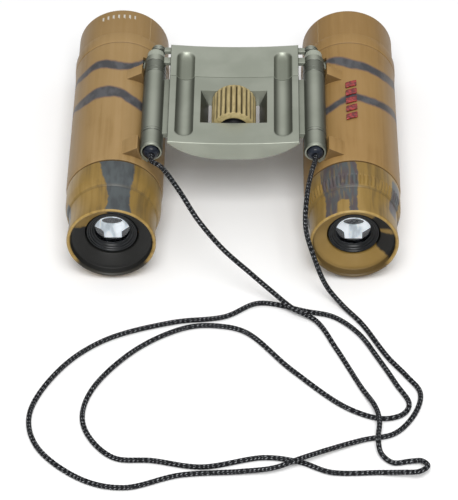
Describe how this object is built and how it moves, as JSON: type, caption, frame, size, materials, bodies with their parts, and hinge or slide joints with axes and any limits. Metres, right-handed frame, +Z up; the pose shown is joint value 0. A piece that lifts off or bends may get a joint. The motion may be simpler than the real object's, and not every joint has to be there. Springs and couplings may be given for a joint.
{
  "type": "folding compact binoculars",
  "caption": "Compact folding roof-prism binoculars with hinged barrels, central focus wheel, dioptre ring and neck cord.",
  "frame": {"origin": "middle of the two barrels' footprint, on the surface that they lie on", "axes": "+X across the pair to the right barrel, +Y from the eyecups to the objectives, +Z up"},
  "size_m": [0.1292, 0.2075, 0.0408],
  "materials": {
    "camo_skin": "printed camouflage skin, tan brown with dark wavy bands",
    "camo_ocular": "printed camouflage, ochre with charcoal patches",
    "grey_green_alloy": "satin grey green paint",
    "gold_grip": "gold brown ribbed grip",
    "steel": "turned steel",
    "brass": "turned brass",
    "black_plastic": "black moulded plastic",
    "coated_glass": "coated optical glass",
    "braided_cord": "charcoal braided cord",
    "badge_red": "raised red badge, blank"
  },
  "bodies": {
    "bridge": {"bridge_body": "grey_green_alloy", "guide_rod_left": "steel", "guide_rod_right": "steel", "left_hinge_pin": "steel", "right_hinge_pin": "steel", "left_cord_cap": "black_plastic", "right_cord_cap": "black_plastic", "neck_cord": "braided_cord"},
    "bridge_front": {"bridge_slide": "grey_green_alloy", "focus_nut": "brass"},
    "focus_wheel": {"focus_wheel_grip": "gold_grip", "focus_wheel_core": "black_plastic", "focus_screw": "steel", "wheel_washer_front": "steel", "wheel_washer_rear": "steel"},
    "left_barrel": {"left_barrel_body": "grey_green_alloy", "left_barrel_cover": "camo_skin", "left_front_sleeve": "camo_skin", "left_prism_cage": "black_plastic", "left_half_prism": "coated_glass", "left_roof_prism": "coated_glass", "left_prism_retainer": "black_plastic", "left_ocular_housing": "camo_ocular", "left_eyecup": "camo_ocular", "left_eyepiece_tube": "black_plastic", "left_field_lens": "coated_glass", "left_eye_lens": "coated_glass", "left_eye_lens_ring": "black_plastic"},
    "left_objective": {"left_objective_carriage": "black_plastic", "left_objective_flint": "coated_glass", "left_objective_crown": "coated_glass", "left_objective_ring": "black_plastic"},
    "right_barrel": {"right_barrel_body": "grey_green_alloy", "right_barrel_cover": "camo_skin", "right_front_sleeve": "camo_skin", "right_prism_cage": "black_plastic", "right_half_prism": "coated_glass", "right_roof_prism": "coated_glass", "right_prism_retainer": "black_plastic", "name_badge": "badge_red"},
    "right_objective": {"right_objective_carriage": "black_plastic", "right_objective_flint": "coated_glass", "right_objective_crown": "coated_glass", "right_objective_ring": "black_plastic"},
    "dioptre": {"dioptre_ring": "camo_ocular", "right_eyecup": "camo_ocular"},
    "right_eyepiece": {"right_eyepiece_tube": "black_plastic", "right_field_lens": "coated_glass", "right_eye_lens": "coated_glass", "right_eye_lens_ring": "black_plastic"}
  },
  "joints": [
    {"name": "left_fold", "type": "hinge", "parent": "bridge", "child": "left_barrel", "pos_m": [-0.028, 0, 0.03465], "axis": [0, -1, 0], "range_deg": [0, 62]},
    {"name": "right_fold", "type": "hinge", "parent": "bridge", "child": "right_barrel", "pos_m": [0.028, 0, 0.03465], "axis": [0, 1, 0], "range_deg": [0, 62]},
    {"name": "focus_turn", "type": "hinge", "parent": "bridge", "child": "focus_wheel", "pos_m": [0, 0, 0.03305], "axis": [0, 1, 0], "range_deg": [0, 360]},
    {"name": "focus_slide", "type": "slide", "parent": "bridge", "child": "bridge_front", "axis": [0, 1, 0], "range_m": [0, 0.003]},
    {"name": "left_objective_slide", "type": "slide", "parent": "left_barrel", "child": "left_objective", "axis": [0, 1, 0], "range_m": [0, 0.003]},
    {"name": "right_objective_slide", "type": "slide", "parent": "right_barrel", "child": "right_objective", "axis": [0, 1, 0], "range_m": [0, 0.003]},
    {"name": "dioptre_turn", "type": "hinge", "parent": "right_barrel", "child": "dioptre", "pos_m": [0.041, 0, 0.01705], "axis": [0, 1, 0], "range_deg": [-45, 45]},
    {"name": "right_eyepiece_slide", "type": "slide", "parent": "right_barrel", "child": "right_eyepiece", "axis": [0, 1, 0], "range_m": [-0.0009, 0.0009]}
  ],
  "couplings": [
    {"joint": "focus_turn", "follows": "focus_slide", "rad_per_m": 2094.4},
    {"joint": "left_objective_slide", "follows": "focus_slide", "ratio": 1},
    {"joint": "right_objective_slide", "follows": "focus_slide", "ratio": 1},
    {"joint": "right_eyepiece_slide", "follows": "dioptre_turn", "m_per_rad": -0.0011459}
  ]
}
